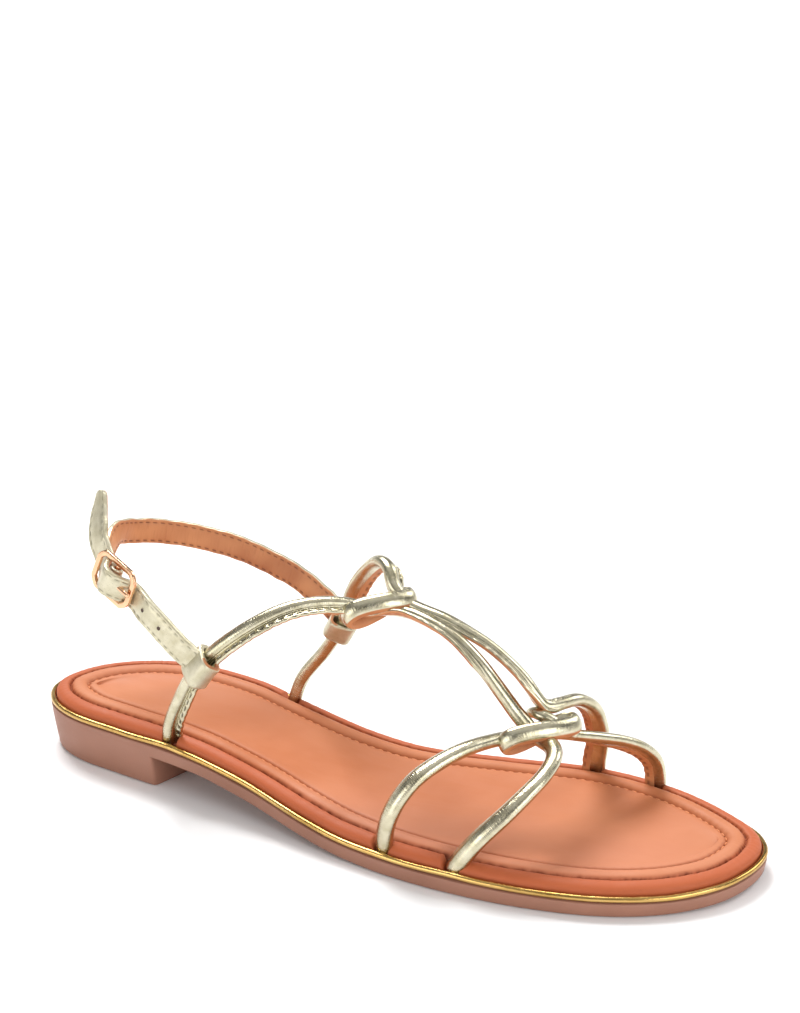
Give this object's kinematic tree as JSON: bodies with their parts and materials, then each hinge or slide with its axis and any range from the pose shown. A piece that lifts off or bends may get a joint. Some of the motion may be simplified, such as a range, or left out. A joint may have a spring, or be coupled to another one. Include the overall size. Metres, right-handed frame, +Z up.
{
  "type": "gladiator sandal",
  "caption": "Flat sandal with a low heel, padded footbed, gold rim, knotted piped straps and a buckled slingback.",
  "frame": {"origin": "on the ground, under the middle of the bounding box", "axes": "+X towards the toe, +Y towards the inner side of the foot, +Z up"},
  "size_m": [0.2472, 0.0832, 0.095],
  "materials": {
    "outsole": "matt moulded",
    "rim": "polished metallic gold",
    "footbed": "smooth tan",
    "upper": "metallic champagne gold",
    "slingback": "metallic champagne gold, tan lining",
    "buckle": "polished rose gold"
  },
  "bodies": {
    "root": {"outsole": "outsole", "rim": "rim", "footbed": "footbed", "upper": "upper", "buckle_strap": "slingback", "heel_strap": "slingback", "buckle_frame": "buckle", "buckle_prong": "buckle"}
  },
  "joints": []
}
